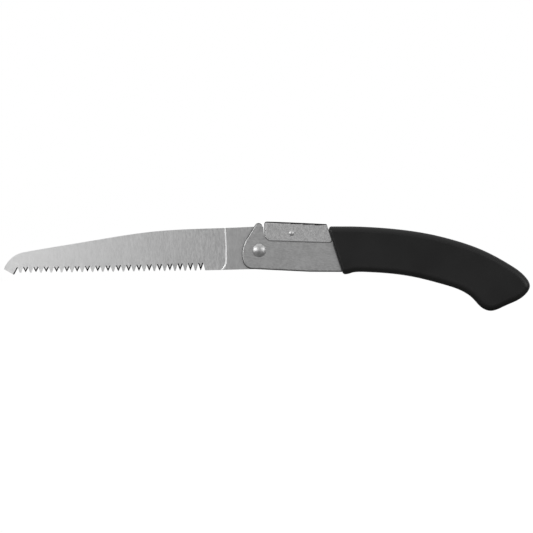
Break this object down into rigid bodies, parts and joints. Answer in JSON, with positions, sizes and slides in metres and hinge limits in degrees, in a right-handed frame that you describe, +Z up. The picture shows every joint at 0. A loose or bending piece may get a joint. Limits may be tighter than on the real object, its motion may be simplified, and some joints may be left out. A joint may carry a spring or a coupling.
{
  "type": "folding pruning saw",
  "caption": "Folding pruning saw with a curved toothed steel blade, a folded steel handle with a black moulded grip, and a pressed steel lock lever over the pivot end.",
  "frame": {"origin": "the middle of the saw's box with the blade open", "axes": "+X along the saw from the blade's nose towards the handle's butt, +Z up with the teeth facing down, Y across the thickness"},
  "size_m": [0.4206, 0.016, 0.0714],
  "materials": {
    "blade_steel": "ground satin, darker on the tang",
    "handle_steel": "fine satin",
    "lever_steel": "brushed across its length",
    "rivet_steel": "bright plated",
    "sleeve_steel": "turned",
    "washer_brass": "satin",
    "spring_steel": "drawn wire",
    "black_grip": "satin moulded vinyl"
  },
  "bodies": {
    "handle": {"handle_channel": "handle_steel", "grip_sleeve": "black_grip", "pivot_rivet": "rivet_steel", "pivot_burr": "rivet_steel", "pivot_sleeve": "sleeve_steel", "pivot_washer_near": "washer_brass", "pivot_washer_far": "washer_brass", "lock_rivet": "rivet_steel", "lock_spacer": "sleeve_steel", "spring_seat": "rivet_steel", "lock_spring": "spring_steel"},
    "blade": {"blade": "blade_steel"},
    "lever": {"lock_lever": "lever_steel"}
  },
  "joints": [
    {"name": "blade_fold", "type": "hinge", "parent": "handle", "child": "blade", "pos_m": [-0.006, 0, 0.0128], "axis": [0, -1, 0], "range_deg": [0, 168]},
    {"name": "lever_rock", "type": "hinge", "parent": "handle", "child": "lever", "pos_m": [0.0198, 0, 0.0264], "axis": [0, 1, 0], "range_deg": [-4.8, 2.6], "stiffness_Nm_per_rad": 0.5, "deforming": ["lock_spring"]}
  ]
}
